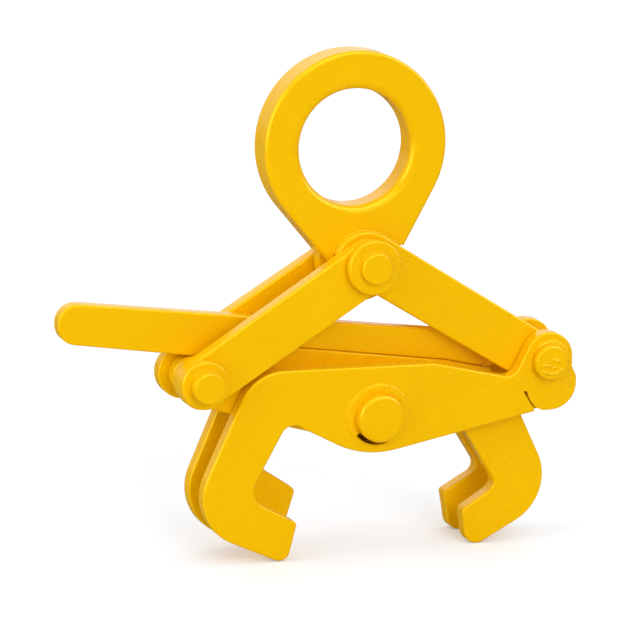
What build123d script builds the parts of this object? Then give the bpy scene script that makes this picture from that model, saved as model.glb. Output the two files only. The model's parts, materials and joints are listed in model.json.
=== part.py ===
from build123d import *
import math
import os

# A rail lifting clamp: two pairs of hooked jaws cross on a centre pin,
# four links join their arms to a lifting eye, and a flat bar is the handle.
# The origin is the middle of the eye's bore, X runs right, Y away, Z up.

# The whole clamp stands turned by this angle, so that all four hooks are level
LEAN = 1.8

# Pin axes, measured from the eye's bore along the turned axes
TOP = (4.0, -66.0)
CENTRE = (8.0, -154.5)
LEFT = (CENTRE[0] - 105.4, CENTRE[1] + 27.8)
RIGHT = (CENTRE[0] + 106.8, CENTRE[1] + 25.4)

# Plates lie in five layers, counted from the front
PLATE = 10.0
LAYER_PITCH = 10.5
EDGE = 1.4

# Pins and bores
PIN_D = 18.0
CENTRE_PIN_D = 28.0
RUNNING = 0.05
OPEN_BORE_D = 33.0
WELD_BORE_D = 33.4

# Lifting eye
EYE_BORE_D = 67.0
EYE_R = 54.8
EYE_SHIFT = (0.2, 0.7)
EYE_THICK = 22.0
EYE_EDGE = 2.5
EYE_BORE_EDGE = 5.0
TANG_R = 17.0
TANG_SHIFT = 1.9
TANG_DISC_R = 24.5
TANG_THICK = 10.0
FRONT_RECESS_R = 18.15
LINK_RECESS_R = 15.95
REAR_RECESS_R = 15.6
RECESS_LENGTH = 60.0
FRONT_RECESS_HALF = 18.9
REAR_RECESS_HALF = 15.6
FRONT_RECESS_ANGLES = (-30.5,)
REAR_RECESS_ANGLES = (207.3, 232.0)

# Links: end radii, and how far the round ends lie from their pins
LINK_R = 15.0
LEFT_FRONT_FOOT_R = 14.6
LEFT_REAR_FOOT_R = 15.4
RIGHT_LINK_TOP_R = 15.6
RIGHT_LINK_BOSS_R = 17.8
RIGHT_LINK_BLEND = 6.0
LEFT_FRONT_FOOT_SHIFT = (1.0, -0.9)
LEFT_REAR_FOOT_SHIFT = (-1.2, -0.3)
RIGHT_LINK_TOP_SHIFT = (3.6, 1.2)
RIGHT_LINK_FOOT_SHIFT = (-0.8, -3.4)

# Washers, collar and spacers
WASHER_THICK = 6.0
WASHER_GAP = 0.3
TOP_WASHER_D = 31.6
SIDE_WASHER_D = 28.0
COLLAR_D = 44.0
COLLAR_THICK = 7.0
SPACER_THICK = 10.2
LEFT_SPACER_D = 22.0
RIGHT_SPACER_D = 26.0

# How far each pin stands out
CENTRE_PROUD = 8.0
RIGHT_PROUD = 6.5
TOP_STUB = 4.0
LEFT_STUB = 8.0
REAR_STUB = 4.0
LEFT_REAR_STUB = 1.5
PIN_EDGE = 1.2
CENTRE_PIN_EDGE = 2.6

# Weld beads
BEAD = 2.4
SMALL_BEAD = 1.2
BEAD_ROUNDING = 1.3
CENTRE_BEAD_WIDTH = 3.8
CENTRE_BEAD_RISE = 1.2
CENTRE_BEAD_ROUNDING = 3.2
CENTRE_BEAD_ROOT = 5.0
CENTRE_BEAD_START = 288.0
CENTRE_BEAD_ARC = 288.0
RIGHT_BEAD_START = -60.0
RIGHT_BEAD_ARC = 180.0

# Outline corners as (x, z, radius), measured from the centre pin.
# Left jaws: round lobe, the ear above it, arm and hook; the rear ear is a little higher.
LEFT_LOBE = [
    (98.4, -5.0, 2.0),
    (124.0, -5.0, 15.5),
    (124.0, 14.2, 1.8),
    (121.3, 20.2, 1.8),
]
LEFT_FRONT_EAR = [
    (121.3, 41.6, 15.0),
    (98.0, 41.6, 13.5),
]
LEFT_REAR_EAR = [
    (121.3, 43.3, 15.0),
    (98.0, 43.3, 13.5),
]
LEFT_ARM = [
    (84.5, 16.0, 8.0),
    (35.0, 28.6, 40.0),
    (-74.5, 31.8, 27.0),
]
LEFT_FRONT_HOOK = [
    (-115.3, -54.6, 29.4),
    (-55.6, -83.2, 6.3),
    (-49.1, -58.9, 3.0),
    (-79.0, -41.9, 11.0),
    (-54.1, 1.3, 7.5),
    (-7.8, -24.1, 56.0),
]
LEFT_REAR_HOOK = [
    (-114.9, -60.2, 29.4),
    (-50.5, -81.9, 6.3),
    (-39.5, -47.9, 3.0),
    (-70.1, -26.5, 9.0),
    (-54.1, 1.3, 7.5),
    (-7.8, -24.1, 56.0),
]
# Blind slit in the front face that parts the lobe from the arm
SLIT_TIP = (98.0, -5.2)
SLIT_TOP_LEFT = (90.2, 7.7)
SLIT_TOP_RIGHT = (92.7, 7.5)
SLIT_FOOT = (104.1, -5.2)
SLIT_ARC_R = 15.3
SLIT_DEPTH = 6.5
# Right jaws: a plain arm that tapers to the left pin, and hooks
RIGHT_ARM = [
    (36.0, 24.5, 40.0),
    (-52.0, 28.0, 60.0),
    (-116.8, 43.3, 13.0),
    (-116.8, 15.6, 13.0),
    (9.8, -23.0, 40.0),
]
RIGHT_FRONT_HOOK = [
    (48.9, -1.0, 7.5),
    (78.8, -50.3, 6.0),
    (56.6, -63.6, 3.5),
    (60.0, -89.0, 8.0),
    (117.0, -59.9, 30.0),
    (85.0, 9.5, 14.0),
]
RIGHT_REAR_HOOK = [
    (52.3, -1.8, 7.5),
    (80.4, -48.2, 6.0),
    (57.4, -60.7, 2.5),
    (62.0, -89.3, 8.0),
    (117.0, -59.9, 30.0),
    (85.0, 9.5, 14.0),
]
# Handle bar and the plate it is welded to, both in the middle layer
HANDLE = [
    (-183.3, 75.7, 11.3),
    (-183.3, 52.1, 11.3),
    (-62.0, 32.2, 2.0),
    (-62.0, 42.5, 1.5),
    (50.0, 25.1, 30.0),
    (80.0, 17.6, 9.4),
    (80.0, 38.7, 9.4),
]
HANDLE_PLATE = [
    (-61.8, 42.3, 1.5),
    (-61.8, 22.0, 10.0),
    (-22.0, -17.5, 14.0),
    (18.0, -17.5, 14.0),
    (46.0, 2.0, 10.0),
    (79.0, 9.0, 5.0),
    (79.0, 17.4, 1.5),
    (50.0, 24.85, 30.0),
]


def turned(point, y):
    """The place of a point once the clamp is turned by its lean."""
    c = math.cos(math.radians(LEAN))
    s = math.sin(math.radians(LEAN))
    return (point[0] * c - point[1] * s, y, point[0] * s + point[1] * c)


def facing(point, y):
    """A drawing plane that faces the front, with its origin at a point."""
    return Plane(origin=turned(point, y), x_dir=turned((1, 0), 0), z_dir=(0, -1, 0))


def layer_front(number):
    """The Y of a layer's front face."""
    return (number - 3) * LAYER_PITCH - PLATE / 2


def layer_back(number):
    """The Y of a layer's back face."""
    return layer_front(number) + PLATE


def from_centre(point):
    """A pin's place as seen from the centre pin."""
    return (point[0] - CENTRE[0], point[1] - CENTRE[1])


def shifted(point, shift):
    """A point moved along the turned axes."""
    return (point[0] + shift[0], point[1] + shift[1])


def on_circle(points, middle, radius):
    """The corners of a drawing that lie on a circle."""
    return [v for v in points if abs(math.hypot(v.X - middle[0], v.Y - middle[1]) - radius) < 0.01]


def corners(outline):
    """Closed line through rounded corners, for use inside BuildLine."""
    FilletPolyline([(x, z) for x, z, r in outline], radius=[r for x, z, r in outline], close=True)


def rim(solid):
    """Outer edges of a plate's front and back faces."""
    flat = solid.faces().filter_by(Axis.Y)
    ends = flat.group_by(Axis.Y)[0] + flat.group_by(Axis.Y)[-1]
    return ShapeList([edge for face in ends for edge in face.outer_wire().edges()])


def bore_rim(solid):
    """Edges of the bores in a plate's front and back faces."""
    flat = solid.faces().filter_by(Axis.Y)
    return ShapeList([edge for face in flat for wire in face.inner_wires() for edge in wire.edges()])


def bead_plane(point, y, angle):
    """A plane through a pin's axis; x is the radius and y points to the front."""
    c = math.cos(math.radians(angle + LEAN))
    s = math.sin(math.radians(angle + LEAN))
    return Plane(origin=turned(point, y), x_dir=(c, 0, s), z_dir=(s, 0, -c))


def pin_axis(point):
    """A pin's axis, pointing to the front."""
    return Axis(turned(point, 0), (0, -1, 0))


def save(builder, name):
    """Labels a part and writes its file."""
    builder.part.label = name
    export_step(builder.part, f"parts/{name}.step")


os.makedirs("parts", exist_ok=True)
front = layer_front(1)
rear = layer_back(5)
front_washer = front - WASHER_GAP - WASHER_THICK
rear_washer = rear + WASHER_GAP + WASHER_THICK
rear_collar = rear + WASHER_GAP + COLLAR_THICK
running_bore = PIN_D / 2 + RUNNING
centre_bore = CENTRE_PIN_D / 2 + RUNNING

right_link_top = shifted(TOP, RIGHT_LINK_TOP_SHIFT)
right_link_foot = shifted(RIGHT, RIGHT_LINK_FOOT_SHIFT)

# Recesses beside the tang leave room for a right link in front and a left link behind,
# which swings lower as the clamp closes: front face, round ends, half width, directions
front_rounds = ((TOP, FRONT_RECESS_R), (right_link_top, LINK_RECESS_R))
rear_rounds = ((TOP, REAR_RECESS_R),)
recesses = (
    (-EYE_THICK / 2, front_rounds, FRONT_RECESS_HALF, FRONT_RECESS_ANGLES),
    (TANG_THICK / 2, rear_rounds, REAR_RECESS_HALF, REAR_RECESS_ANGLES),
)

# Lifting eye: a thick ring that tapers to a thin round tang
with BuildPart() as lifting_eye:
    with BuildSketch(facing((0, 0), -EYE_THICK / 2)):
        with Locations(EYE_SHIFT):
            Circle(EYE_R)
        with Locations((TOP[0] + TANG_SHIFT, TOP[1])):
            Circle(TANG_R)
        make_hull()
    extrude(amount=-EYE_THICK)
    with BuildSketch(facing((0, 0), -EYE_THICK / 2)):
        Circle(EYE_BORE_D / 2)
    extrude(amount=-EYE_THICK, mode=Mode.SUBTRACT)
    fillet(rim(lifting_eye), EYE_EDGE)
    fillet(bore_rim(lifting_eye), EYE_BORE_EDGE)
    for y, rounds, half, angles in recesses:
        with BuildSketch(facing((0, 0), y)):
            for point, radius in rounds:
                with Locations(point):
                    Circle(radius)
            with Locations(TOP):
                for angle in angles:
                    Rectangle(RECESS_LENGTH, 2 * half, rotation=angle, align=(Align.MIN, Align.CENTER))
        extrude(amount=-(EYE_THICK - TANG_THICK) / 2, mode=Mode.SUBTRACT)
    with BuildSketch(facing(TOP, -TANG_THICK / 2)):
        Circle(TANG_DISC_R)
    extrude(amount=-TANG_THICK)
    with BuildSketch(facing(TOP, -EYE_THICK / 2)):
        Circle(running_bore)
    extrude(amount=-EYE_THICK, mode=Mode.SUBTRACT)
save(lifting_eye, "lifting_eye")

# Left links run from the top pin to the left pin; the rear one is a little longer
left_links = (
    ("left_link_front", 1, LEFT_FRONT_FOOT_SHIFT, LEFT_FRONT_FOOT_R),
    ("left_link_rear", 4, LEFT_REAR_FOOT_SHIFT, LEFT_REAR_FOOT_R),
)
for name, number, shift, foot_radius in left_links:
    with BuildPart() as left_link:
        with BuildSketch(facing((0, 0), layer_front(number))):
            with Locations(TOP):
                Circle(LINK_R)
            with Locations(shifted(LEFT, shift)):
                Circle(foot_radius)
            make_hull()
            with Locations(TOP, LEFT):
                Circle(running_bore, mode=Mode.SUBTRACT)
        extrude(amount=-PLATE)
        fillet(rim(left_link), EDGE)
    save(left_link, name)

# Right links run from the top pin to the right pin, with a round boss at the top
for name, number in (("right_link_front", 2), ("right_link_rear", 5)):
    with BuildPart() as right_link:
        with BuildSketch(facing((0, 0), layer_front(number))) as link_face:
            with Locations(right_link_top):
                Circle(RIGHT_LINK_TOP_R)
            with Locations(right_link_foot):
                Circle(LINK_R)
            make_hull()
            with Locations(TOP):
                Circle(RIGHT_LINK_BOSS_R)
            fillet(on_circle(link_face.vertices(), TOP, RIGHT_LINK_BOSS_R), RIGHT_LINK_BLEND)
            with Locations(TOP, RIGHT):
                Circle(running_bore, mode=Mode.SUBTRACT)
        extrude(amount=-PLATE)
        fillet(rim(right_link), EDGE)
    save(right_link, name)

# Left jaws carry the centre pin and the right pin; a slit runs up beside the lobe
left_jaws = (
    ("left_jaw_front", 1, LEFT_FRONT_EAR, LEFT_FRONT_HOOK, WELD_BORE_D / 2),
    ("left_jaw_rear", 4, LEFT_REAR_EAR, LEFT_REAR_HOOK, centre_bore),
)
for name, number, ear, hook, bore in left_jaws:
    with BuildPart() as left_jaw:
        with BuildSketch(facing(CENTRE, layer_front(number))):
            with BuildLine():
                corners(LEFT_LOBE + ear + LEFT_ARM + hook)
            make_face()
            Circle(bore, mode=Mode.SUBTRACT)
            with Locations(from_centre(RIGHT)):
                Circle(running_bore, mode=Mode.SUBTRACT)
        extrude(amount=-PLATE)
        fillet(rim(left_jaw), EDGE)
        with BuildSketch(facing(CENTRE, layer_front(number))):
            with BuildLine():
                Line(SLIT_TIP, SLIT_TOP_LEFT)
                Line(SLIT_TOP_LEFT, SLIT_TOP_RIGHT)
                RadiusArc(SLIT_TOP_RIGHT, SLIT_FOOT, -SLIT_ARC_R)
                Line(SLIT_FOOT, SLIT_TIP)
            make_face()
        extrude(amount=-SLIT_DEPTH, mode=Mode.SUBTRACT)
    save(left_jaw, name)

# Right jaws carry the left pin and turn loosely on the centre pin
right_jaws = (
    ("right_jaw_front", 2, RIGHT_FRONT_HOOK),
    ("right_jaw_rear", 5, RIGHT_REAR_HOOK),
)
for name, number, hook in right_jaws:
    with BuildPart() as right_jaw:
        with BuildSketch(facing(CENTRE, layer_front(number))):
            with BuildLine():
                corners(RIGHT_ARM + hook)
            make_face()
            Circle(OPEN_BORE_D / 2, mode=Mode.SUBTRACT)
            with Locations(from_centre(LEFT)):
                Circle(running_bore, mode=Mode.SUBTRACT)
        extrude(amount=-PLATE)
        fillet(rim(right_jaw), EDGE)
    save(right_jaw, name)

# Handle plate between the right jaws
with BuildPart() as handle_plate:
    with BuildSketch(facing(CENTRE, layer_front(3))):
        with BuildLine():
            corners(HANDLE_PLATE)
        make_face()
        Circle(OPEN_BORE_D / 2, mode=Mode.SUBTRACT)
    extrude(amount=-PLATE)
    fillet(rim(handle_plate), EDGE)
save(handle_plate, "handle_plate")

# Handle bar with round ends, notched over the handle plate
with BuildPart() as handle_bar:
    with BuildSketch(facing(CENTRE, layer_front(3))):
        with BuildLine():
            corners(HANDLE)
        make_face()
    extrude(amount=-PLATE)
    fillet(rim(handle_bar), EDGE)
save(handle_bar, "handle_bar")

# Pins: place, diameter, edge rounding, front end and rear end
pins = (
    ("top_pin", TOP, PIN_D, PIN_EDGE, front_washer - TOP_STUB, rear_washer + REAR_STUB),
    ("left_pin", LEFT, PIN_D, PIN_EDGE, front_washer - LEFT_STUB, rear + LEFT_REAR_STUB),
    ("right_pin", RIGHT, PIN_D, PIN_EDGE, front - RIGHT_PROUD, rear_washer + REAR_STUB),
    ("centre_pin", CENTRE, CENTRE_PIN_D, CENTRE_PIN_EDGE, front - CENTRE_PROUD, rear_collar + REAR_STUB),
)
for name, point, diameter, edge, start, end in pins:
    with BuildPart() as pin:
        with BuildSketch(facing(point, start)):
            Circle(diameter / 2)
        extrude(amount=start - end)
        fillet(pin.edges().filter_by(GeomType.CIRCLE), edge)
    save(pin, name)

# Washers, collar and spacers: place, outer and inner diameter, front face, thickness
rings = (
    ("top_washer_front", TOP, TOP_WASHER_D, PIN_D, front_washer, WASHER_THICK),
    ("top_washer_rear", TOP, TOP_WASHER_D, PIN_D, rear + WASHER_GAP, WASHER_THICK),
    ("left_washer_front", LEFT, SIDE_WASHER_D, PIN_D, front_washer, WASHER_THICK),
    ("right_washer_rear", RIGHT, SIDE_WASHER_D, PIN_D, rear + WASHER_GAP, WASHER_THICK),
    ("centre_collar", CENTRE, COLLAR_D, CENTRE_PIN_D, rear + WASHER_GAP, COLLAR_THICK),
    ("left_spacer", LEFT, LEFT_SPACER_D, PIN_D, -SPACER_THICK / 2, SPACER_THICK),
    ("right_spacer", RIGHT, RIGHT_SPACER_D, PIN_D, -SPACER_THICK / 2, SPACER_THICK),
)
for name, point, outer, inner, start, thickness in rings:
    with BuildPart() as ring:
        with BuildSketch(facing(point, start)):
            Circle(outer / 2)
            Circle(inner / 2 + RUNNING, mode=Mode.SUBTRACT)
        extrude(amount=-thickness)
        fillet(rim(ring), EDGE)
    save(ring, name)

# Weld beads round the pins: place, face, pin radius, size, start, sweep and side
beads = (
    ("top_weld_front", TOP, front_washer, PIN_D / 2, SMALL_BEAD, 0.0, 360.0, 1),
    ("top_weld_rear", TOP, rear_washer, PIN_D / 2, BEAD, 0.0, 360.0, -1),
    ("left_weld_front", LEFT, front_washer, PIN_D / 2, SMALL_BEAD, 0.0, 360.0, 1),
    ("left_weld_rear", LEFT, rear, PIN_D / 2, SMALL_BEAD, 0.0, 360.0, -1),
    ("right_weld_front", RIGHT, front, PIN_D / 2, BEAD, RIGHT_BEAD_START, RIGHT_BEAD_ARC, 1),
    ("right_weld_rear", RIGHT, rear_washer, PIN_D / 2, BEAD, 0.0, 360.0, -1),
    ("centre_weld_rear", CENTRE, rear_collar, CENTRE_PIN_D / 2, BEAD, 0.0, 360.0, -1),
)
for name, point, y, radius, size, start, sweep, side in beads:
    with BuildPart() as weld:
        with BuildSketch(bead_plane(point, y, start)):
            with BuildLine():
                Line((radius, side * size), (radius, 0))
                Line((radius, 0), (radius + size, 0))
                RadiusArc((radius + size, 0), (radius, side * size), -side * size * BEAD_ROUNDING)
            make_face()
        revolve(axis=pin_axis(point), revolution_arc=sweep)
    save(weld, name)

# The front bead of the centre pin fills the wide bore, but for a gap at the lower left
with BuildPart() as centre_weld_front:
    bead_toe = (CENTRE_PIN_D / 2 + CENTRE_BEAD_WIDTH, 0)
    bead_top = (CENTRE_PIN_D / 2, CENTRE_BEAD_RISE)
    with BuildSketch(bead_plane(CENTRE, front, CENTRE_BEAD_START)):
        with BuildLine():
            Polyline(
                bead_top,
                (CENTRE_PIN_D / 2, -CENTRE_BEAD_ROOT),
                (WELD_BORE_D / 2, -CENTRE_BEAD_ROOT),
                (WELD_BORE_D / 2, 0),
                bead_toe,
            )
            RadiusArc(bead_toe, bead_top, -CENTRE_BEAD_ROUNDING)
        make_face()
    revolve(axis=pin_axis(CENTRE), revolution_arc=CENTRE_BEAD_ARC)
save(centre_weld_front, "centre_weld_front")
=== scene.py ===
"""Studio scene of a rail lifting clamp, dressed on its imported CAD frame."""

import json
import logging
import math
from dataclasses import dataclass, field
from enum import Enum
from typing import Any

import bmesh
import bpy
from mathutils import Matrix, Vector, noise


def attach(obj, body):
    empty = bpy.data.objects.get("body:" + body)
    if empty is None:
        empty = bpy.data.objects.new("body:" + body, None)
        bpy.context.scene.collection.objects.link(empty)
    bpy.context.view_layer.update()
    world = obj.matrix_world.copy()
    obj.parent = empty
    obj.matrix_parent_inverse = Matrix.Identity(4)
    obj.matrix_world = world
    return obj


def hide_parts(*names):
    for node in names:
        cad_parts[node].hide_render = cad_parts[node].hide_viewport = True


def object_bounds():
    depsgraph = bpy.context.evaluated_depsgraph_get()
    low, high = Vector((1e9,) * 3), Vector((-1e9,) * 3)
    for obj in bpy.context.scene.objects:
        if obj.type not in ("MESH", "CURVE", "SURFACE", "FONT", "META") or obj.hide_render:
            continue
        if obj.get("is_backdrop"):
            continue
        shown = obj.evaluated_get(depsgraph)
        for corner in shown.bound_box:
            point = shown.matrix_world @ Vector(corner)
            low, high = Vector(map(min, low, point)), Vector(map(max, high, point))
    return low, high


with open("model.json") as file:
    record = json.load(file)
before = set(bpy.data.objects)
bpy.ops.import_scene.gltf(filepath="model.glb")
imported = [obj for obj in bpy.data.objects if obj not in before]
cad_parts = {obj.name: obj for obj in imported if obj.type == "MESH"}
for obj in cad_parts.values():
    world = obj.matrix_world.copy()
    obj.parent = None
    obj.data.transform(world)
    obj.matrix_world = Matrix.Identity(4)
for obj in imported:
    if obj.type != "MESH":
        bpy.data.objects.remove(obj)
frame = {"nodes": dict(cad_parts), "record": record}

LOG = logging.getLogger("rail_clamp")
MM = 0.001
FULL_TURN = 360.0
Colour = tuple[float, float, float, float]
Place = tuple[float, float, float]
Point = tuple[float, float]
Pair = tuple[float, float]
Item = bpy.types.Object
Material = bpy.types.Material
Node = bpy.types.Node
Socket = bpy.types.NodeSocket
Tree = bpy.types.NodeTree


def linked(name: str, data: bpy.types.ID) -> Item:
    """Makes an object and links it to the scene.

    Args:
        name: Object name.
        data: Its mesh, lamp or camera.

    Returns:
        The object.
    """
    item = bpy.data.objects.new(name, data)
    bpy.context.scene.collection.objects.link(item)
    return item


class Side(Enum):
    """The side of the plates on which a weld bead lies."""

    FRONT = -1.0
    REAR = 1.0


@dataclass(frozen=True)
class PaintFinish:
    """One painted surface: its colours and the grain of its paint film.

    Attributes:
        name: Material name.
        film: Paint colour where the film is thick.
        thin: Paint colour where the film is thin.
        speck: Colour of the small dark specks.
        gloss: Mean roughness of the film.
        peel: Height of the orange peel, in millimetres.
        grit: Height of the finer grit, in millimetres.
        dents: Height of broad unevenness in the steel, in millimetres.
        drag: Height of the cutting lines on the plates' edges, in millimetres.
        specks: Share of the cells that hold a speck.
        seed: Offset that sets this finish's pattern apart.
    """

    name: str
    film: Colour = (0.95, 0.530, 0.0006, 1.0)
    thin: Colour = (0.80, 0.41, 0.0003, 1.0)
    speck: Colour = (0.66, 0.32, 0.001, 1.0)
    gloss: float = 0.24
    peel: float = 0.03
    grit: float = 0.008
    dents: float = 0.06
    drag: float = 0.004
    specks: float = 0.03
    seed: float = 0.0


@dataclass(frozen=True)
class NodeBench:
    """Short helpers to place and wire the nodes of one tree.

    Attributes:
        tree: Tree that the nodes go into.
    """

    tree: Tree

    def add(self, kind: str, **settings: Any) -> Node:
        """Adds a node and sets its properties.

        Args:
            kind: Node type.
            **settings: Node properties by name.

        Returns:
            The new node.
        """
        node = self.tree.nodes.new(kind)
        for key, value in settings.items():
            setattr(node, key, value)
        return node

    def feed(self, value: Any, target: Socket) -> None:
        """Wires a socket into another, or sets a plain value on it.

        Args:
            value: Socket or plain value.
            target: Input that takes it.
        """
        if isinstance(value, Socket):
            self.tree.links.new(value, target)
        else:
            target.default_value = value

    def fill(self, node: Node, values: tuple[Any, ...]) -> Node:
        """Feeds a node's first inputs, in order.

        Args:
            node: The node.
            values: Values or sockets.

        Returns:
            The node.
        """
        for value, target in zip(values, node.inputs):
            self.feed(value, target)
        return node

    def math(self, operation: str, *values: Any, clamp: bool = False) -> Socket:
        """Adds a Math node.

        Args:
            operation: Name of the operation.
            *values: Values or sockets, in order.
            clamp: Whether the result stays between 0 and 1.

        Returns:
            The result's socket.
        """
        return self.fill(self.add("ShaderNodeMath", operation=operation, use_clamp=clamp), values).outputs[0]

    def vector(self, operation: str, *values: Any) -> Socket:
        """Adds a Vector Math node.

        Args:
            operation: Name of the operation.
            *values: Values or sockets, in order.

        Returns:
            The result's socket.
        """
        node = self.fill(self.add("ShaderNodeVectorMath", operation=operation), values)
        return node.outputs["Value" if operation in ("LENGTH", "DISTANCE") else "Vector"]

    def span(self, value: Any, low: float, high: float, to_low: Any = 0.0, to_high: Any = 1.0) -> Socket:
        """Maps a value from one span to another, smoothly and clamped.

        Args:
            value: Socket to map.
            low: Start of the source span.
            high: End of the source span.
            to_low: Start of the target span.
            to_high: End of the target span.

        Returns:
            The mapped value's socket.
        """
        node = self.add("ShaderNodeMapRange", interpolation_type="SMOOTHSTEP")
        return self.fill(node, (value, low, high, to_low, to_high)).outputs["Result"]

    def noise(self, vector: Any, scale: Any, detail: float = 2.0, rough: float = 0.5) -> Socket:
        """Adds a noise texture.

        Args:
            vector: Coordinates.
            scale: Cells per metre.
            detail: Octaves.
            rough: Strength of the finer octaves.

        Returns:
            The noise value's socket, about 0.5 in the mean.
        """
        node = self.add("ShaderNodeTexNoise", noise_dimensions="3D")
        for key, value in (("Vector", vector), ("Scale", scale), ("Detail", detail), ("Roughness", rough)):
            self.feed(value, node.inputs[key])
        return [s for s in node.outputs if s.type == "VALUE"][0]

    def mix(self, factor: Any, first: Any, second: Any) -> Socket:
        """Adds a colour mix.

        Args:
            factor: Share of the second colour.
            first: First colour or socket.
            second: Second colour or socket.

        Returns:
            The mixed colour's socket.
        """
        node = self.add("ShaderNodeMix", data_type="RGBA")
        self.feed(factor, node.inputs[0])
        colours = [s for s in node.inputs if s.type == "RGBA"]
        self.feed(first, colours[0])
        self.feed(second, colours[1])
        return [s for s in node.outputs if s.type == "RGBA"][0]

    def group(self, group: Tree, **values: Any) -> Any:
        """Places a shared group.

        Args:
            group: The group.
            **values: Values or sockets by input name.

        Returns:
            The group's outputs.
        """
        node = self.add("ShaderNodeGroup", node_tree=group)
        for key, value in values.items():
            self.feed(value, node.inputs[key])
        return node.outputs


class PaintGroups:
    """Shader groups that every painted finish shares.

    Scales are in cells per metre. A fade is the span of values over which a mask rises or falls.
    """

    VECTOR = "NodeSocketVector"
    FLOAT = "NodeSocketFloat"
    PEEL_SCALE = 720.0
    GRIT_SCALE = 1900.0
    GRIT_ROUGH = 0.6
    DENT_SCALE = 95.0
    LINE_STRETCH: Place = (1.0, 0.06, 1.0)
    LINE_SCALE = 560.0
    LINE_ROUGH = 0.55
    EDGE_FADE: Pair = (0.25, 0.6)
    BROAD_SCALE = 24.0
    BROAD_FADE: Pair = (0.35, 0.68)
    BROAD_SHARE = 0.12
    FINE_SCALE = 800.0
    FINE_ROUGH = 0.7
    FINE_FADE: Pair = (0.38, 0.66)
    FINE_SHARE = 0.5
    GLOSS_CHANGE = 0.12
    SPECK_SCALE = 150.0
    SPECK_LEAST = 0.03
    SPECK_SPREAD = 0.05
    GRAIN_SCALE = 900.0
    GRAIN_FADE: Pair = (0.48, 0.70)
    PATCH_FADE: Pair = (0.55, 1.0)

    def __init__(self) -> None:
        """Builds the groups once."""
        self.peel = self._peel()
        self.drag = self._drag()
        self.mottle = self._mottle()
        self.specks = self._specks()
        self.spatter = self._spatter()

    def _group(self, name: str, inputs: dict[str, str], outputs: tuple[str, ...]
               ) -> tuple[Tree, NodeBench, Any, Any]:
        """Starts a group with named sockets.

        Args:
            name: Group name.
            inputs: Socket type by input name.
            outputs: Names of the outputs, which are plain values.

        Returns:
            The tree, its bench, the sockets of its input and those of its output.
        """
        tree = bpy.data.node_groups.new(name, "ShaderNodeTree")
        for key, kind in inputs.items():
            tree.interface.new_socket(key, in_out="INPUT", socket_type=kind)
        for key in outputs:
            tree.interface.new_socket(key, in_out="OUTPUT", socket_type=self.FLOAT)
        bench = NodeBench(tree)
        source = bench.add("NodeGroupInput").outputs
        return tree, bench, source, bench.add("NodeGroupOutput").inputs

    def _peel(self) -> Tree:
        """Height of the film in metres: orange peel, grit and broad unevenness.

        Returns:
            The group.
        """
        kinds = {"Vector": self.VECTOR, "Peel": self.FLOAT, "Grit": self.FLOAT, "Dents": self.FLOAT}
        tree, bench, source, sink = self._group("paint_peel", kinds, ("Height",))
        vector = source["Vector"]
        peel = bench.math("MULTIPLY", bench.noise(vector, self.PEEL_SCALE, detail=1.0), source["Peel"])
        grit = bench.math("MULTIPLY", bench.noise(vector, self.GRIT_SCALE, rough=self.GRIT_ROUGH),
                          source["Grit"])
        dents = bench.math("MULTIPLY", bench.noise(vector, self.DENT_SCALE), source["Dents"])
        total = bench.math("ADD", bench.math("ADD", peel, grit), dents)
        bench.feed(bench.math("MULTIPLY", total, MM), sink["Height"])
        return tree

    def _drag(self) -> Tree:
        """Height in metres of the cutting lines that cross a plate's edge faces.

        Returns:
            The group.
        """
        kinds = {"Vector": self.VECTOR, "Normal": self.VECTOR, "Drag": self.FLOAT}
        tree, bench, source, sink = self._group("cut_edge", kinds, ("Height",))
        across = bench.vector("MULTIPLY", source["Vector"], self.LINE_STRETCH)
        lines = bench.noise(across, self.LINE_SCALE, rough=self.LINE_ROUGH)
        facing = bench.add("ShaderNodeSeparateXYZ")
        bench.feed(source["Normal"], facing.inputs[0])
        edge = bench.span(bench.math("ABSOLUTE", facing.outputs["Y"]), *self.EDGE_FADE, 1.0, 0.0)
        height = bench.math("MULTIPLY", bench.math("MULTIPLY", lines, edge), source["Drag"])
        bench.feed(bench.math("MULTIPLY", height, MM), sink["Height"])
        return tree

    def _mottle(self) -> Tree:
        """Changes of film thickness, and of gloss with it.

        Returns:
            The group.
        """
        kinds = {"Vector": self.VECTOR, "Roughness": self.FLOAT}
        tree, bench, source, sink = self._group("paint_mottle", kinds, ("Thin", "Gloss"))
        vector = source["Vector"]
        broad = bench.span(bench.noise(vector, self.BROAD_SCALE, detail=3.0), *self.BROAD_FADE)
        fine = bench.span(bench.noise(vector, self.FINE_SCALE, rough=self.FINE_ROUGH), *self.FINE_FADE)
        thin = bench.math("ADD", bench.math("MULTIPLY", broad, self.BROAD_SHARE),
                          bench.math("MULTIPLY", fine, self.FINE_SHARE), clamp=True)
        change = bench.math("MULTIPLY_ADD", fine, self.GLOSS_CHANGE, -self.GLOSS_CHANGE / 2.0)
        bench.feed(thin, sink["Thin"])
        bench.feed(bench.math("ADD", source["Roughness"], change, clamp=True), sink["Gloss"])
        return tree

    def _specks(self) -> Tree:
        """Small round specks, sparse and of uneven size.

        Returns:
            The group.
        """
        kinds = {"Vector": self.VECTOR, "Share": self.FLOAT}
        tree, bench, source, sink = self._group("paint_specks", kinds, ("Mask",))
        cells = bench.add("ShaderNodeTexVoronoi", feature="F1", voronoi_dimensions="3D")
        bench.feed(source["Vector"], cells.inputs["Vector"])
        bench.feed(self.SPECK_SCALE, cells.inputs["Scale"])
        chance = bench.add("ShaderNodeSeparateColor")
        bench.feed(cells.outputs["Color"], chance.inputs["Color"])
        chosen = bench.math("LESS_THAN", chance.outputs["Red"], source["Share"])
        size = bench.math("MULTIPLY_ADD", chance.outputs["Green"], self.SPECK_SPREAD, self.SPECK_LEAST)
        near = bench.math("LESS_THAN", cells.outputs["Distance"], size)
        bench.feed(bench.math("MULTIPLY", near, chosen), sink["Mask"])
        return tree

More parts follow.
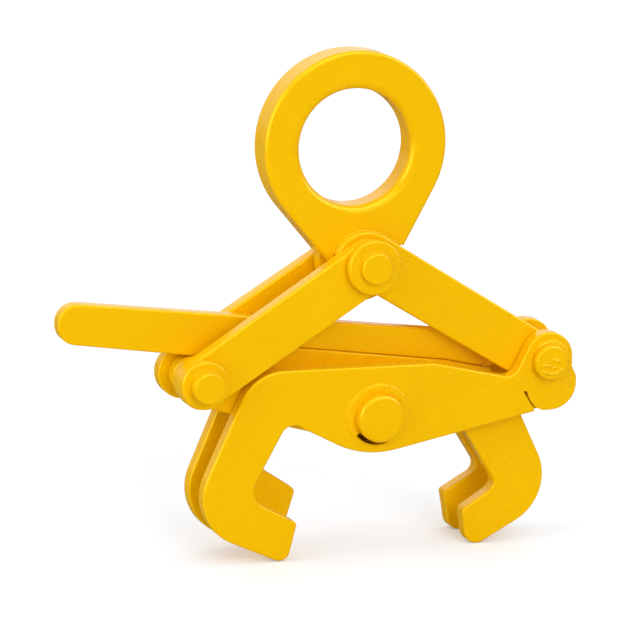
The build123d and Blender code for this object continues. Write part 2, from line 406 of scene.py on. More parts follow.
    def _spatter(self) -> Tree:
        """Height in metres of weld spatter on the faces round a place.

        Returns:
            The group.
        """
        kinds = {"Vector": self.VECTOR, "Centre": self.VECTOR, "Reach": self.FLOAT, "Height": self.FLOAT}
        tree, bench, source, sink = self._group("weld_spatter", kinds, ("Height",))
        vector = source["Vector"]
        away = bench.math("DIVIDE", bench.vector("DISTANCE", vector, source["Centre"]), source["Reach"])
        grains = bench.span(bench.noise(vector, self.GRAIN_SCALE, detail=1.0), *self.GRAIN_FADE)
        patch = bench.span(away, *self.PATCH_FADE, 1.0, 0.0)
        height = bench.math("MULTIPLY", bench.math("MULTIPLY", grains, patch), source["Height"])
        bench.feed(bench.math("MULTIPLY", height, MM), sink["Height"])
        return tree


@dataclass(frozen=True)
class Spatter:
    """A patch of weld spatter on a finish.

    Attributes:
        centre: Middle of the patch, in metres.
        reach: Radius of the patch, in metres.
        height: Height of the grains, in millimetres.
    """

    centre: Place
    reach: float
    height: float


@dataclass(frozen=True)
class PaintShop:
    """Makes the painted materials from their finishes.

    Attributes:
        groups: Shared groups.
        tint: Colour of the film's reflections seen head-on, where the paint shows hardly any blue.
        specular: Strength of the film's reflections.
        shift: Offset of a finish's pattern for a seed of one.
    """

    groups: PaintGroups
    tint: Colour = (1.0, 0.9, 0.1, 1.0)
    specular: float = 0.5
    shift: Place = (1.0, 0.7, -0.4)

    def make(self, finish: PaintFinish, spatter: tuple[Spatter, ...] = ()) -> Material:
        """Builds one painted material.

        Args:
            finish: Colours and grain of the paint.
            spatter: Patches of weld spatter.

        Returns:
            The material.
        """
        material = bpy.data.materials.new(finish.name)
        material.use_nodes = True
        material.node_tree.nodes.clear()
        bench = NodeBench(material.node_tree)
        coordinates = bench.add("ShaderNodeTexCoord").outputs
        place = bench.add("ShaderNodeMapping")
        bench.feed([finish.seed * share for share in self.shift], place.inputs["Location"])
        bench.feed(coordinates["Object"], place.inputs["Vector"])
        moved = place.outputs["Vector"]
        groups = self.groups
        peel = bench.group(groups.peel, Vector=moved, Peel=finish.peel, Grit=finish.grit, Dents=finish.dents)
        drag = bench.group(groups.drag, Vector=moved, Normal=coordinates["Normal"], Drag=finish.drag)
        mottle = bench.group(groups.mottle, Vector=moved, Roughness=finish.gloss)
        specks = bench.group(groups.specks, Vector=moved, Share=finish.specks)
        height = bench.math("ADD", peel["Height"], drag["Height"])
        for patch in spatter:
            grains = bench.group(groups.spatter, Vector=coordinates["Object"], Centre=patch.centre,
                                 Reach=patch.reach, Height=patch.height)
            height = bench.math("ADD", height, grains["Height"])
        colour = bench.mix(mottle["Thin"], finish.film, finish.thin)
        colour = bench.mix(specks["Mask"], colour, finish.speck)
        bump = bench.add("ShaderNodeBump")
        bench.feed(1.0, bump.inputs["Strength"])
        bench.feed(1.0, bump.inputs["Distance"])
        bench.feed(height, bump.inputs["Height"])
        shader = bench.add("ShaderNodeBsdfPrincipled")
        bench.feed(colour, shader.inputs["Base Color"])
        bench.feed(mottle["Gloss"], shader.inputs["Roughness"])
        bench.feed(bump.outputs["Normal"], shader.inputs["Normal"])
        bench.feed(self.specular, shader.inputs["Specular IOR Level"])
        bench.feed(self.tint, shader.inputs["Specular Tint"])
        bench.feed(shader.outputs["BSDF"], bench.add("ShaderNodeOutputMaterial").inputs["Surface"])
        return material


@dataclass
class Linkage:
    """Places of the clamp's pins and faces, in millimetres from the eye's bore.

    Attributes:
        lean: Angle by which the whole clamp leans.
        top: Axis of the top pin, along the leaning axes.
        centre: Axis of the centre pin.
        left: Axis of the left pin.
        right: Axis of the right pin.
        front: Depth of the plates' front face.
        rear: Depth of the plates' rear face.
        pin: Radius of the three small pins.
        centre_pin: Radius of the centre pin.
        boss: Radius of the right links' boss at the top.
        eye_face: Depth of the eye's front face.
        washer: How far a washer stands out from the plates.
        collar: How far the centre pin's collar stands out from the plates.
    """

    lean: float = math.radians(1.8)
    top: Point = (4.0, -66.0)
    centre: Point = (8.0, -154.5)
    left: Point = (-97.4, -126.7)
    right: Point = (114.8, -129.1)
    front: float = -26.0
    rear: float = 26.0
    pin: float = 9.0
    centre_pin: float = 14.0
    boss: float = 18.0
    eye_face: float = -11.0
    washer: float = 6.3
    collar: float = 7.3

    def at(self, point: Point, y: float) -> Vector:
        """Turns a place on the leaning axes into the row frame.

        Args:
            point: Place along the leaning axes.
            y: Depth.

        Returns:
            The place in metres.
        """
        c, s = math.cos(self.lean), math.sin(self.lean)
        return Vector((point[0] * c - point[1] * s, y, point[0] * s + point[1] * c)) * MM


class BeadTree:
    """Geometry Nodes tree that sweeps an uneven weld bead along an arc.

    The profile is swept with a radius of UNIT metres, and then stretched to the bead's sizes.
    """

    FLOATS = ("Middle", "Start Width", "End Width", "Bulge", "Rise", "Start", "Sweep", "Lump Height",
              "Lump Size", "Ripple Height", "Ripple Count")
    OTHERS = {"Capped": "NodeSocketBool", "Seed": "NodeSocketInt", "Material": "NodeSocketMaterial"}
    UNIT = 0.001
    MERGE = UNIT * 0.001
    STEPS = 240
    SIDES = 28
    LUMP_ROUGH = 0.6
    FINISH = ("GeometryNodeRealizeInstances", "GeometryNodeSetShadeSmooth", "GeometryNodeSetMaterial")

    def __init__(self) -> None:
        """Starts the tree with its inputs and its output."""
        self.tree = bpy.data.node_groups.new("weld_bead", "GeometryNodeTree")
        kinds = dict.fromkeys(self.FLOATS, "NodeSocketFloat") | self.OTHERS
        for name, kind in kinds.items():
            self.tree.interface.new_socket(name, in_out="INPUT", socket_type=kind)
        self.tree.interface.new_socket("Geometry", in_out="OUTPUT", socket_type="NodeSocketGeometry")
        self.bench = NodeBench(self.tree)
        self.source = self.bench.add("NodeGroupInput").outputs

    def build(self) -> Tree:
        """Builds the tree.

        Returns:
            The tree, which gives a bead in the XY plane round the origin, rising along Z.
        """
        bench = self.bench
        swept, along = self._sweep()
        geometry = self._lumps(self._shape(swept, along), along)
        for kind in self.FINISH:
            node = bench.add(kind)
            bench.feed(geometry, node.inputs["Geometry"])
            geometry = node.outputs["Geometry"]
        bench.feed(self.source["Material"], node.inputs["Material"])
        bench.feed(geometry, bench.add("NodeGroupOutput").inputs["Geometry"])
        return self.tree

    def _sweep(self) -> tuple[Socket, Socket]:
        """Sweeps a round profile along the arc.

        Returns:
            The swept mesh, and the share of the way along the arc.
        """
        bench, source = self.bench, self.source
        arc = bench.add("GeometryNodeCurveArc", mode="RADIUS")
        bench.feed(self.STEPS, arc.inputs["Resolution"])
        for key, name in (("Radius", "Middle"), ("Start Angle", "Start"), ("Sweep Angle", "Sweep")):
            bench.feed(source[name], arc.inputs[key])
        keep = bench.add("GeometryNodeCaptureAttribute", domain="POINT")
        keep.capture_items.new("FLOAT", "Along")
        bench.feed(arc.outputs["Curve"], keep.inputs["Geometry"])
        bench.feed(bench.add("GeometryNodeSplineParameter").outputs["Factor"], keep.inputs["Along"])
        ring = bench.add("GeometryNodeCurvePrimitiveCircle", mode="RADIUS")
        bench.feed(self.SIDES, ring.inputs["Resolution"])
        bench.feed(self.UNIT, ring.inputs["Radius"])
        sweep = bench.add("GeometryNodeCurveToMesh")
        bench.feed(keep.outputs["Geometry"], sweep.inputs["Curve"])
        bench.feed(ring.outputs["Curve"], sweep.inputs["Profile Curve"])
        bench.feed(source["Capped"], sweep.inputs["Fill Caps"])
        joined = bench.add("GeometryNodeMergeByDistance")
        bench.feed(self.MERGE, joined.inputs["Distance"])
        bench.feed(sweep.outputs["Mesh"], joined.inputs["Geometry"])
        return joined.outputs["Geometry"], keep.outputs["Along"]

    def _shape(self, mesh: Socket, along: Socket) -> Socket:
        """Gives the round profile its width and rise.

        Args:
            mesh: Swept mesh.
            along: Share of the way along the arc.

        Returns:
            The shaped mesh.
        """
        bench, source = self.bench, self.source
        place = bench.add("GeometryNodeInputPosition").outputs["Position"]
        parts = bench.add("ShaderNodeSeparateXYZ")
        bench.feed(place, parts.inputs[0])
        flat = bench.vector("MULTIPLY", place, (1.0, 1.0, 0.0))
        radius = bench.vector("LENGTH", flat)
        aside = bench.math("DIVIDE", bench.math("SUBTRACT", radius, source["Middle"]), self.UNIT)
        width = bench.span(along, 0.0, 1.0, source["Start Width"], source["End Width"])
        hump = bench.math("SINE", bench.math("MULTIPLY", along, math.pi))
        width = bench.math("MULTIPLY_ADD", hump, source["Bulge"], width)
        reach = bench.math("MULTIPLY_ADD", aside, width, source["Middle"])
        ground = bench.vector("MULTIPLY", flat, bench.math("DIVIDE", reach, radius))
        height = bench.math("MULTIPLY", bench.math("DIVIDE", parts.outputs["Z"], self.UNIT), source["Rise"])
        lift = bench.add("ShaderNodeCombineXYZ")
        bench.feed(height, lift.inputs["Z"])
        move = bench.add("GeometryNodeSetPosition")
        bench.feed(mesh, move.inputs["Geometry"])
        bench.feed(bench.vector("ADD", ground, lift.outputs["Vector"]), move.inputs["Position"])
        return move.outputs["Geometry"]

    def _lumps(self, mesh: Socket, along: Socket) -> Socket:
        """Roughens the bead with lumps and with ripples along its path.

        Args:
            mesh: Shaped mesh.
            along: Share of the way along the arc.

        Returns:
            The rough mesh.
        """
        bench, source = self.bench, self.source
        start = bench.add("ShaderNodeCombineXYZ")
        bench.fill(start, (source["Seed"], source["Seed"]))
        place = bench.add("GeometryNodeInputPosition").outputs["Position"]
        moved = bench.vector("ADD", place, start.outputs["Vector"])
        scale = bench.math("DIVIDE", 1.0, source["Lump Size"])
        lumps = bench.math("MULTIPLY_ADD", bench.noise(moved, scale, rough=self.LUMP_ROUGH), 2.0, -1.0)
        lumps = bench.math("MULTIPLY", lumps, source["Lump Height"])
        turns = bench.math("MULTIPLY", bench.math("MULTIPLY", along, source["Ripple Count"]), 2.0 * math.pi)
        ripples = bench.math("MULTIPLY", bench.math("SINE", turns), source["Ripple Height"])
        normal = bench.add("GeometryNodeInputNormal").outputs["Normal"]
        move = bench.add("GeometryNodeSetPosition")
        bench.feed(mesh, move.inputs["Geometry"])
        offset = bench.vector("MULTIPLY", normal, bench.math("ADD", lumps, ripples))
        bench.feed(offset, move.inputs["Offset"])
        return move.outputs["Geometry"]


@dataclass
class WeldBead:
    """An uneven weld bead, in place of a pin's smooth CAD ring or along a bare seam.

    Sizes are in millimetres. Angles are in degrees from the clamp's right, counter-clockwise as
    seen from the bead's own side.

    Attributes:
        name: Piece name.
        node: CAD node that the bead stands for, or none where it only covers a seam.
        body: CAD body that it rides on.
        point: Axis that the bead runs round.
        y: Face that the bead lies on.
        middle: Radius of the bead's middle line.
        width: Half width at the start and at the end.
        rise: Height above the face.
        bulge: Extra half width halfway along.
        start: Start angle.
        sweep: Angle covered.
        lump: Height and size of the lumps.
        ripple: Height and count of the ripples.
        side: Side of the plates.
        seed: Seed of the lumps.
    """

    name: str
    node: str | None
    body: str
    point: Point
    y: float
    middle: float
    width: Pair
    rise: float
    bulge: float = 0.0
    start: float = 0.0
    sweep: float = FULL_TURN
    lump: Pair = (0.3, 1.6)
    ripple: tuple[float, int] = (0.05, 40)
    side: Side = Side.FRONT
    seed: int = 1

    def inputs(self, lean: float, paint: Material) -> dict[str, Any]:
        """Values of the bead tree's inputs.

        Args:
            lean: Angle by which the clamp leans.
            paint: Material.

        Returns:
            The values by input name.
        """
        sizes = {"Middle": self.middle, "Start Width": self.width[0], "End Width": self.width[1],
                 "Bulge": self.bulge, "Rise": self.rise, "Lump Height": self.lump[0],
                 "Lump Size": self.lump[1], "Ripple Height": self.ripple[0]}
        others = {"Start": math.radians(self.start) - lean * self.side.value,
                  "Sweep": math.radians(self.sweep), "Ripple Count": float(self.ripple[1]),
                  "Capped": self.sweep < FULL_TURN, "Seed": self.seed, "Material": paint}
        return {name: size * MM for name, size in sizes.items()} | others

    def build(self, linkage: Linkage, tree: Tree, paint: Material) -> Item:
        """Runs the bead's tree and keeps the result as a plain mesh.

        Args:
            linkage: Pin axes.
            tree: Bead tree.
            paint: Material.

        Returns:
            The bead object.
        """
        holder = linked(self.name + "_tree", bpy.data.meshes.new(self.name + "_seed"))
        modifier = holder.modifiers.new("bead", "NODES")
        modifier.node_group = tree
        values = self.inputs(linkage.lean, paint)
        for item in tree.interface.items_tree:
            if item.in_out == "INPUT":
                modifier[item.identifier] = values[item.name]
        graph = bpy.context.evaluated_depsgraph_get()
        mesh = bpy.data.meshes.new_from_object(holder.evaluated_get(graph))
        mesh.name = self.name
        bpy.data.objects.remove(holder)
        upright = Matrix.Rotation(math.radians(-90.0 * self.side.value), 4, "X")
        mesh.transform(Matrix.Translation(linkage.at(self.point, self.y)) @ upright)
        shell = bmesh.new()
        shell.from_mesh(mesh)
        bmesh.ops.recalc_face_normals(shell, faces=shell.faces)
        shell.to_mesh(mesh)
        shell.free()
        return linked(self.name, mesh)

    def dress(self, bead: Item) -> None:
        """Joins the bead to its body and hides the ring that it stands for.

        Args:
            bead: The bead object.
        """
        if self.node:
            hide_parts(self.node)
        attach(bead, self.body)


@dataclass
class Welds:
    """All the weld beads of the clamp.

    The straight seam beside the boss is a short piece of a very large arc.

    Attributes:
        linkage: Places of the pins and faces.
        seam: Place of the straight seam, along the leaning axes.
        seam_way: Direction from the large arc's centre to the seam, in degrees.
        seam_radius: Radius of the large arc.
        seam_before: How far the straight seam starts before that place, in degrees.
        seam_lift: How far the seams' beads lie in front of the eye's face.
        centre_ring: How far the front bead of the centre pin lies outside that pin.
        beads: The beads, listed by pin.
    """

    linkage: Linkage
    seam: Point = (20.4, -54.1)
    seam_way: float = 57.5
    seam_radius: float = 600.0
    seam_before: float = 0.6
    seam_lift: float = 0.9
    centre_ring: float = 2.3
    beads: list[WeldBead] = field(default_factory=list)

    def __post_init__(self) -> None:
        """Lists the beads by pin."""
        link = self.linkage
        pin, centre = link.pin, link.centre_pin
        washer_front, washer_rear = link.front - link.washer, link.rear + link.washer
        collar_rear, eye_front = link.rear + link.collar, link.eye_face - self.seam_lift
        small = {"width": (0.5, 0.5), "rise": 0.32, "lump": (0.2, 1.4), "start": -40.0, "sweep": 190.0}
        back = {"width": (2.2, 2.2), "rise": 2.1, "lump": (0.5, 2.2), "side": Side.REAR}
        turn, far = math.radians(self.seam_way), self.seam_radius
        behind = (self.seam[0] - far * math.cos(turn), self.seam[1] - far * math.sin(turn))
        self.beads = [
            WeldBead("bead_top_front", "top_weld_front", "head", link.top, washer_front, pin,
                     seed=3, **small),
            WeldBead("bead_top_rear", "top_weld_rear", "head", link.top, washer_rear, pin,
                     seed=4, **back),
            WeldBead("bead_left_front", "left_weld_front", "right_jaws", link.left, washer_front, pin,
                     seed=5, **small),
            WeldBead("bead_left_rear", "left_weld_rear", "right_jaws", link.left, link.rear, pin,
                     side=Side.REAR, seed=6, **small),
            WeldBead("bead_right_front", "right_weld_front", "left_jaws", link.right, link.front, pin,
                     width=(2.6, 2.0), rise=1.0, bulge=0.9, start=-50.0, sweep=185.0,
                     lump=(0.55, 2.1), seed=7),
            WeldBead("bead_right_rear", "right_weld_rear", "left_jaws", link.right, washer_rear, pin,
                     seed=8, **back),
            WeldBead("bead_centre_front", "centre_weld_front", "left_jaws", link.centre, link.front,
                     centre + self.centre_ring, width=(2.7, 2.7), rise=0.9, bulge=0.5, start=288.0,
                     sweep=288.0, lump=(0.35, 2.6), ripple=(0.08, 46), seed=9),
            WeldBead("bead_centre_rear", "centre_weld_rear", "left_jaws", link.centre, collar_rear,
                     centre, seed=10, **back),
            WeldBead("bead_boss", None, "right_links", link.top, eye_front, link.boss,
                     width=(0.5, 0.5), rise=0.75, bulge=0.25, start=45.0, sweep=117.0,
                     lump=(0.35, 1.8), seed=11),
            WeldBead("bead_seam", None, "right_links", behind, eye_front, far,
                     width=(0.6, 0.6), rise=0.75, start=self.seam_way - self.seam_before, sweep=1.4,
                     lump=(0.3, 1.8), seed=12),
        ]

    def build(self, paint: Material) -> None:
        """Builds and dresses every bead.

        Args:
            paint: Weld paint.
        """
        tree = BeadTree().build()
        for bead in self.beads:
            piece = bead.build(self.linkage, tree, paint)
            bead.dress(piece)
            LOG.info("bead %s: %d faces", bead.name, len(piece.data.polygons))


@dataclass(frozen=True)
class Ridge:
    """A line of raised metal on a pin's end, in millimetres.

    Attributes:
        line: Points of the line, to the right of the axis and above it.
        height: Height of its crest.
        half: Half width.
    """

    line: tuple[Point, ...]
    height: float
    half: float


@dataclass
class RoughPin:
    """The right pin, whose front end was cut by hand and left uneven.

    Sizes are in millimetres; ridges are drawn on the end as seen from the front.

    Attributes:
        linkage: Places of the pins and faces.
        head: Radius of the burred front end.
        shift: How far the front end sits off the axis, to the right and up.
        sunk: How far the burr reaches into the plate.
        front: Depth of the front end.
        rear: Depth of the rear end.
        edge: Rounding of both ends.
        rings: Rings of points on the front end.
        steps: Points round a ring.
        corners: Steps of an edge's rounding.
        grain: Height of the fine unevenness of the front end.
        grain_scale: Its cells per millimetre.
        grain_start: Where its pattern starts.
        wave: Mean and spread of a ridge's height along it, as shares.
        wave_scale: Its cells per millimetre.
        wave_start: Where its pattern starts.
        bare: Share of the rounding inside the rim that stays smooth.
        fade: Width over which the unevenness dies out towards the rim.
        ridges: Lines of raised metal.
    """

    linkage: Linkage
    head: float = 10.1
    shift: Point = (-1.1, -0.7)
    sunk: float = 1.0
    front: float = -32.5
    rear: float = 36.3
    edge: float = 1.2
    rings: int = 26
    steps: int = 120
    corners: int = 6
    grain: float = 0.16
    grain_scale: float = 0.55
    grain_start: Place = (3.1, 0.0, 4.2)
    wave: Pair = (0.75, 0.6)
    wave_scale: float = 1.1
    wave_start: Place = (0.0, 0.0, 9.7)
    bare: float = 0.4
    fade: float = 1.2
    ridges: tuple[Ridge, ...] = (
        Ridge(((-5.6, -0.9), (-3.4, -1.6), (-1.6, -1.5), (-0.4, -3.0), (1.6, -2.6), (2.6, -3.6)),
              1.6, 0.42),
        Ridge(((-5.4, -5.2), (-3.8, -5.6), (-2.2, -6.6), (0.2, -6.2), (2.0, -6.9), (4.0, -5.6), (5.8, -4.2)),
              1.9, 0.5),
        Ridge(((0.8, 2.2), (2.2, 1.0), (3.6, 1.6), (4.8, 0.2)), 1.2, 0.45),
    )

    def profile(self) -> list[Point]:
        """Half outline of the pin, from the middle of the front end to that of the rear end.

        Returns:
            Points as (radius, depth).
        """
        radius, face = self.linkage.pin, self.linkage.front
        turns = [math.radians(90.0 / self.corners * i) for i in range(1, self.corners + 1)]
        flat = self.head - self.edge
        points = [(flat * i / self.rings, self.front) for i in range(self.rings + 1)]
        points += [(flat + self.edge * math.sin(t), self.front + self.edge * (1.0 - math.cos(t)))
                   for t in turns]
        points += [(self.head, face + self.sunk), (radius, face + 2.0 * self.sunk)]
        flat = radius - self.edge
        points += [(flat + self.edge * math.cos(t), self.rear - self.edge * (1.0 - math.sin(t)))
                   for t in [0.0] + turns]
        return points + [(0.0, self.rear)]

    def relief(self, x: float, z: float) -> float:
        """How far the front end stands out at a place.

        Args:
            x: Place to the right of the axis.
            z: Place above the axis.

        Returns:
            The height in millimetres.
        """
        total = self.grain * self._noise(x, z, self.grain_scale, self.grain_start)
        mean, spread = self.wave
        wave = mean + spread * self._noise(x, z, self.wave_scale, self.wave_start)
        for ridge in self.ridges:
            gap = min(self._gap(x, z, a, b) for a, b in zip(ridge.line, ridge.line[1:]))
            total += ridge.height * wave * math.exp(-(gap / ridge.half) ** 2)
        inside = self.head - self.edge * self.bare - math.hypot(x, z)
        return total * max(0.0, min(1.0, inside / self.fade))

    @staticmethod
    def _noise(x: float, z: float, scale: float, start: Place) -> float:
        """Smooth noise between -1 and 1 at a place, from a pattern's scale and start."""
        return noise.noise(Vector((x * scale + start[0], z * scale + start[1], start[2])))

    @staticmethod
    def _gap(x: float, z: float, a: Point, b: Point) -> float:
        """Distance of a place from a straight run between two points.

        Args:
            x: Place to the right of the axis.
            z: Place above the axis.
            a: Start of the run.
            b: End of the run.

        Returns:
            The distance in millimetres.
        """
        run = (b[0] - a[0], b[1] - a[1])
        share = ((x - a[0]) * run[0] + (z - a[1]) * run[1]) / (run[0] ** 2 + run[1] ** 2)
        share = max(0.0, min(1.0, share))
        return math.hypot(x - a[0] - share * run[0], z - a[1] - share * run[1])

    def _ring(self, radius: float, y: float) -> list[Vector]:
        """Points round the pin at one place of its outline.

        Args:
            radius: Radius of the ring.
            y: Depth of the ring.

        Returns:
            The points in metres, or a single one on the axis.
        """
        points, link = [], self.linkage
        for step in range(1 if radius == 0.0 else self.steps):
            angle = 2.0 * math.pi * step / self.steps
            x, z = radius * math.cos(angle), radius * math.sin(angle)
            proud = self.relief(x, z) if y < link.front and radius < self.head else 0.0
            if y <= link.front + self.sunk:
                x, z = x + self.shift[0], z + self.shift[1]
            points.append(link.at((link.right[0] + x, link.right[1] + z), y - proud))
        return points

    def build(self, paint: Material) -> Item:
        """Turns the outline about the pin's axis and raises the front end.

        Args:
            paint: Material.

        Returns:
            The pin object.
        """
        shell = bmesh.new()
        loops = [[shell.verts.new(point) for point in self._ring(radius, y)] for radius, y in self.profile()]
        for first, second in zip(loops, loops[1:]):
            for step in range(self.steps):
                after = (step + 1) % self.steps
                patch = [first[step % len(first)], first[after % len(first)],
                         second[after % len(second)], second[step % len(second)]]
                shell.faces.new(list(dict.fromkeys(patch)))
        bmesh.ops.recalc_face_normals(shell, faces=shell.faces)
        mesh = bpy.data.meshes.new("right_pin_rough")
        shell.to_mesh(mesh)
        shell.free()
        mesh.materials.append(paint)
        for face in mesh.polygons:
            face.use_smooth = True
        return linked("right_pin_rough", mesh)

    @staticmethod
    def dress(pin: Item) -> None:
        """Joins the pin to its body and hides the plain pin.

        Args:
            pin: The pin object.
        """
        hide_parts("right_pin")
        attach(pin, "left_jaws")
        LOG.info("pin %s: %d faces", pin.name, len(pin.data.polygons))


@dataclass
class Steelwork:
    """The clamp's CAD plates, pins and rings, dressed slot by slot.

    Attributes:
        linkage: Places of the pins and faces.
        finishes: Paint by slot.
        top_patch: Middle of the spatter beside the top pin, from its axis and the plates' face.
        top_spatter: Its reach in metres and height in millimetres.
        right_patch: Middle of the spatter below the right pin, from its axis.
        right_spatter: Its reach in metres and height in millimetres.
    """

    linkage: Linkage
    finishes: dict[str, PaintFinish] = field(default_factory=lambda: {
        "eye_paint": PaintFinish("eye_paint", seed=1.3),
        "link_paint": PaintFinish("link_paint", seed=2.1),
        "jaw_paint": PaintFinish("jaw_paint", seed=3.7),
        "handle_paint": PaintFinish("handle_paint", seed=4.9),
        "pin_paint": PaintFinish("pin_paint", seed=6.2, dents=0.12, grit=0.012, drag=0.0),
        "weld_paint": PaintFinish("weld_paint", seed=7.4, dents=0.16, grit=0.02, drag=0.0),
    })
    top_patch: Place = (17.0, 2.0, -3.0)
    top_spatter: Pair = (0.017, 0.22)
    right_patch: Place = (9.0, 0.0, -9.0)
    right_spatter: Pair = (0.014, 0.2)

    def _patch(self, pin: Point, offset: Place, sizes: Pair) -> Spatter:
        """Places a patch of spatter beside a pin.

        Args:
            pin: Pin axis.
            offset: Middle of the patch from the pin's axis and the plates' front face.
            sizes: Reach and height.

        Returns:
            The patch.
        """
        centre = self.linkage.at((pin[0] + offset[0], pin[1] + offset[2]), self.linkage.front + offset[1])
        return Spatter(tuple(centre), *sizes)

    def spatter(self) -> dict[str, tuple[Spatter, ...]]:
        """Lists the patches of weld spatter.

        Returns:
            The patches by slot.
        """
        top = self._patch(self.linkage.top, self.top_patch, self.top_spatter)
        right = self._patch(self.linkage.right, self.right_patch, self.right_spatter)
        return {"link_paint": (top,), "pin_paint": (top,), "jaw_paint": (right,)}

    def dress(self, shop: PaintShop) -> dict[str, Material]:
        """Paints every CAD node with its slot's finish.

        Args:
            shop: Maker of materials.

        Returns:
            The materials by slot.
        """
        patches = self.spatter()
        paints = {slot: shop.make(finish, patches.get(slot, ())) for slot, finish in self.finishes.items()}
        for entry in frame["record"]["subparts"]:
            node = frame["nodes"][entry["node"]]
            node.data.materials.clear()
            node.data.materials.append(paints[entry["material_slot"]])
            LOG.info("node %s: %s", entry["node"], entry["material_slot"])
        return paints


@dataclass(frozen=True)
class Sun:
    """A soft sun.

    Attributes:
        name: Lamp name.
        strength: Its strength.
        width: Its width, in degrees.
        source: Direction that it comes from.
    """

    name: str
    strength: float
    width: float
    source: Place


@dataclass(frozen=True)
class SoftBox:
    """A soft box that shows only in the paint's gloss.

    Attributes:
        name: Lamp name.
        place: Its place, in metres.
        size: Width and height, in metres.
        power: Its power, in watts.
    """

    name: str
    place: Place
    size: Pair
    power: float


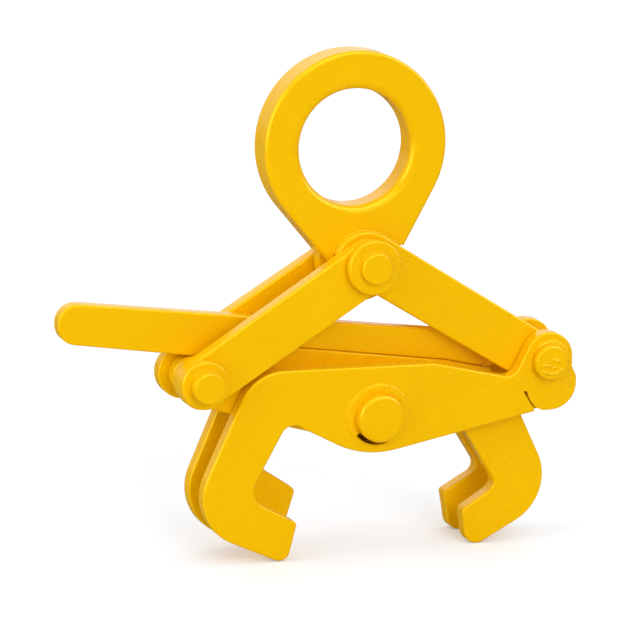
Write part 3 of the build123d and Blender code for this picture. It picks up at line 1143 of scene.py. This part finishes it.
@dataclass
class Studio:
    """White floor, soft lamps and the camera.

    Attributes:
        yaw: Camera's turn to the left of the front.
        pitch: Camera's height angle.
        roll: Camera's turn about the depth axis.
        lens: Focal length on the sensor, in millimetres.
        sensor: Width of the sensor, in millimetres.
        clip: Farthest distance that the camera shows, in metres.
        spot: Camera's place before the turn, in metres.
        floor_half: Half the floor's side, in metres.
        floor_paint: Floor's colour.
        floor_mirrored: Floor's colour in reflections.
        floor_glow: Floor's own light, seen by the camera.
        sky: World's light on the surfaces.
        sky_ahead: World's light in reflections, on the camera's side.
        sky_behind: World's light in reflections, behind the clamp.
        sky_fade: Span of depth over which the one gives way to the other.
        suns: Soft suns in front of, left of, behind and above the clamp.
        boxes: Soft boxes.
        aim: Point that the soft boxes face.
    """

    yaw: float = math.radians(19.5)
    pitch: float = math.radians(12.5)
    roll: float = math.radians(1.8)
    lens: float = 196.1
    sensor: float = 36.0
    clip: float = 50.0
    spot: Place = (-0.67219, -1.84659, 0.33320)
    floor_half: float = 30.0
    floor_paint: Colour = (0.79, 0.835, 0.91, 1.0)
    floor_mirrored: Colour = (0.10, 0.10, 0.10, 1.0)
    floor_glow: float = 0.24
    sky: float = 0.32
    sky_ahead: float = 0.03
    sky_behind: float = 0.50
    sky_fade: Pair = (-0.1, 0.6)
    suns: tuple[Sun, ...] = (
        Sun("key", 1.17, 36.0, (0.10, -0.90, 0.42)),
        Sun("fill", 1.60, 60.0, (-1.0, -0.15, 0.20)),
        Sun("rear", 0.40, 60.0, (0.30, 0.90, 0.25)),
        Sun("top", 1.40, 110.0, (0.12, 0.16, 1.0)),
    )
    boxes: tuple[SoftBox, ...] = (
        SoftBox("box_above", (0.10, -0.55, 0.85), (1.4, 0.6), 16.0),
        SoftBox("box_left", (-1.10, -0.40, 0.30), (0.9, 1.1), 19.0),
        SoftBox("box_right", (1.00, -0.40, 0.60), (0.8, 0.8), 12.0),
    )
    aim: Place = (0.0, 0.0, -0.10)

    def camera(self) -> None:
        """Places the camera at the photograph's viewing angle."""
        turn = Matrix.Rotation(-self.roll, 3, "Y")
        back = Vector((-math.sin(self.yaw) * math.cos(self.pitch),
                       -math.cos(self.yaw) * math.cos(self.pitch), math.sin(self.pitch)))
        right = Vector((math.cos(self.yaw), -math.sin(self.yaw), 0.0))
        axes = [turn @ v for v in (right, back.cross(right), back)]
        data = bpy.data.cameras.new("camera")
        data.lens = self.lens
        data.sensor_width = self.sensor
        data.clip_end = self.clip
        item = linked("camera", data)
        basis = Matrix(axes).transposed().to_4x4()
        item.matrix_world = Matrix.Translation(turn @ Vector(self.spot)) @ basis
        bpy.context.scene.camera = item

    @staticmethod
    def seen(bench: NodeBench) -> tuple[Socket, Socket]:
        """Tells the camera's rays, and those of reflections and glass, from the rest.

        Args:
            bench: Bench of the material or world.

        Returns:
            The sockets that are 1 for the camera's rays, and for reflections and glass.
        """
        path = bench.add("ShaderNodeLightPath").outputs
        mirrored = bench.math("MAXIMUM", path["Is Glossy Ray"], path["Is Transmission Ray"])
        return path["Is Camera Ray"], mirrored

    def floor(self, level: float) -> None:
        """Lays a plain white floor that keeps the shadow.

        Args:
            level: Height of the floor.
        """
        half = self.floor_half
        corners = [(-half, -half, level), (half, -half, level), (half, half, level), (-half, half, level)]
        mesh = bpy.data.meshes.new("floor")
        mesh.from_pydata(corners, [], [(0, 1, 2, 3)])
        item = linked("floor", mesh)
        material = bpy.data.materials.new("floor_white")
        material.use_nodes = True
        material.node_tree.nodes.clear()
        bench = NodeBench(material.node_tree)
        direct, mirrored = self.seen(bench)
        matte = bench.add("ShaderNodeBsdfDiffuse")
        bench.feed(bench.mix(mirrored, self.floor_paint, self.floor_mirrored), matte.inputs["Color"])
        glow = bench.add("ShaderNodeEmission")
        bench.feed(bench.math("MULTIPLY", direct, self.floor_glow), glow.inputs["Strength"])
        both = bench.add("ShaderNodeAddShader")
        bench.fill(both, (matte.outputs["BSDF"], glow.outputs["Emission"]))
        bench.feed(both.outputs["Shader"], bench.add("ShaderNodeOutputMaterial").inputs["Surface"])
        mesh.materials.append(material)
        item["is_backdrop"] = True

    def lamps(self) -> None:
        """Hangs the soft suns and the soft boxes."""
        for sun in self.suns:
            lamp = bpy.data.lights.new(sun.name, "SUN")
            lamp.energy = sun.strength
            lamp.angle = math.radians(sun.width)
            item = linked(sun.name, lamp)
            item.rotation_euler = Vector(sun.source).to_track_quat("Z", "Y").to_euler()
        for box in self.boxes:
            panel = bpy.data.lights.new(box.name, "AREA")
            panel.shape = "RECTANGLE"
            panel.size, panel.size_y = box.size
            panel.energy = box.power
            item = linked(box.name, panel)
            item.visible_diffuse = False
            item.location = box.place
            item.rotation_euler = (Vector(box.place) - Vector(self.aim)).to_track_quat("Z", "Y").to_euler()

    def world(self) -> None:
        """Lights the world: white to the camera, soft on the surfaces, uneven in reflections."""
        world = bpy.data.worlds.new("studio")
        bpy.context.scene.world = world
        world.use_nodes = True
        world.node_tree.nodes.clear()
        bench = NodeBench(world.node_tree)
        direct, mirrored = self.seen(bench)
        way = bench.add("ShaderNodeSeparateXYZ")
        bench.feed(bench.add("ShaderNodeTexCoord").outputs["Generated"], way.inputs[0])
        sides = bench.span(way.outputs["Y"], *self.sky_fade, self.sky_ahead, self.sky_behind)
        strength = bench.span(mirrored, 0.0, 1.0, self.sky, sides)
        strength = bench.span(direct, 0.0, 1.0, strength, 1.0)
        sky = bench.add("ShaderNodeBackground")
        bench.feed(strength, sky.inputs["Strength"])
        bench.feed((1.0, 1.0, 1.0, 1.0), sky.inputs["Color"])
        bench.feed(sky.outputs["Background"], bench.add("ShaderNodeOutputWorld").inputs["Surface"])

    def build(self, level: float) -> None:
        """Sets up the studio.

        Args:
            level: Height of the floor.
        """
        self.camera()
        self.floor(level)
        self.lamps()
        self.world()
        bpy.context.scene.view_settings.view_transform = "Standard"


def main() -> None:
    """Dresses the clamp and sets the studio."""
    logging.basicConfig(level=logging.INFO, format="%(message)s")
    cad_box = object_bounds()
    linkage = Linkage()
    paints = Steelwork(linkage).dress(PaintShop(PaintGroups()))
    Welds(linkage).build(paints["weld_paint"])
    pin = RoughPin(linkage)
    pin.dress(pin.build(paints["pin_paint"]))
    Studio().build(cad_box[0][2])


if __name__ == "__main__":
    main()
